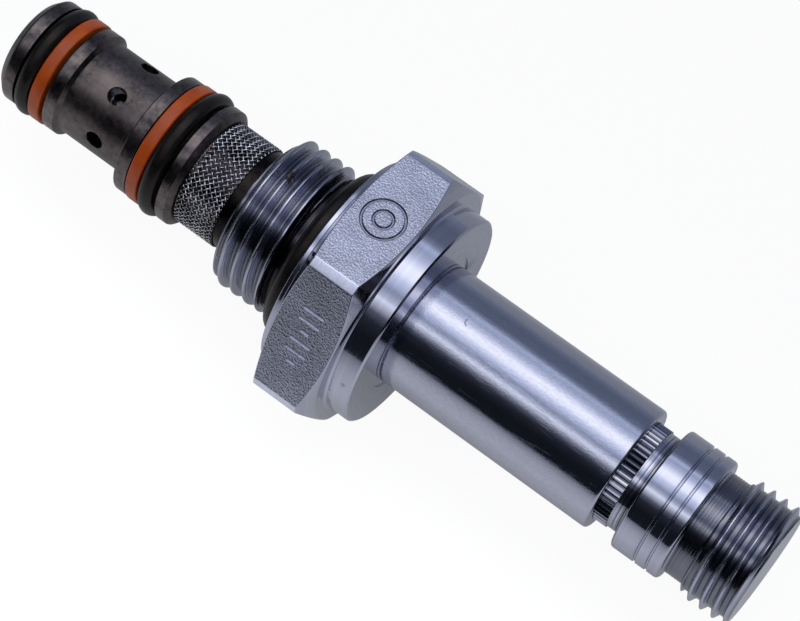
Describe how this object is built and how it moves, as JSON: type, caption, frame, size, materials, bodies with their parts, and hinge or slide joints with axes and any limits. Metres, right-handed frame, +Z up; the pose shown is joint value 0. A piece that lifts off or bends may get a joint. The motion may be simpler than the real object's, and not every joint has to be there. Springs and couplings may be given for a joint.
{
  "type": "solenoid cartridge valve",
  "caption": "Screw-in solenoid spool cartridge valve: dark ported nose with seals and a woven screen, zinc hex adapter, bright coil tube and a threaded end. Shown without its coil.",
  "frame": {"origin": "on the valve's axis in the seat face under the hex, which stops the valve in its cavity", "axes": "+X along the valve's axis from the seat face towards the coil nut's thread; hex flats face +Z and -Z; right-handed, +Z up"},
  "size_m": [0.0841, 0.0286, 0.0254],
  "materials": {
    "zinc_steel": "turned steel with bright zinc plate",
    "tube_steel": "polished stainless tube with fine long scratches",
    "plug_steel": "turned steel with bright zinc plate and fine lathe lines",
    "black_oxide": "turned steel with satin black oxide",
    "screen_wire": "woven stainless wire, dark in the gaps",
    "ground_steel": "hardened and ground steel",
    "soft_iron": "nickel plated soft iron",
    "spring_steel": "bright spring wire",
    "seal_rubber": "satin nitrile rubber",
    "backup_plastic": "orange brown PTFE backup ring",
    "brass": "plain brass"
  },
  "bodies": {
    "valve_body": {"adapter": "zinc_steel", "guide_tube": "tube_steel", "pole_plug": "plug_steel", "plug_o_ring": "seal_rubber", "cage": "black_oxide", "cage_o_ring": "seal_rubber", "nose_snap_ring": "spring_steel", "nose_o_ring": "seal_rubber", "nose_backup_ring": "backup_plastic", "mid_o_ring": "seal_rubber", "mid_backup_ring": "backup_plastic", "hex_o_ring": "seal_rubber", "filter_screen": "screen_wire", "screen_retainer": "black_oxide", "residual_shim": "brass", "return_spring": "spring_steel"},
    "armature": {"armature": "soft_iron", "rod_retainer": "brass"},
    "spool": {"spool": "ground_steel", "pull_rod": "ground_steel", "spool_pin": "ground_steel"}
  },
  "joints": [
    {"name": "armature_slide", "type": "slide", "parent": "valve_body", "child": "armature", "axis": [1, 0, 0], "range_m": [0, 0.0022], "stiffness_N_per_m": 2500, "springref_m": -0.0032, "deforming": ["return_spring"]},
    {"name": "spool_slide", "type": "slide", "parent": "valve_body", "child": "spool", "axis": [1, 0, 0], "range_m": [0, 0.0022]}
  ],
  "couplings": [
    {"joint": "spool_slide", "follows": "armature_slide", "ratio": 1}
  ]
}
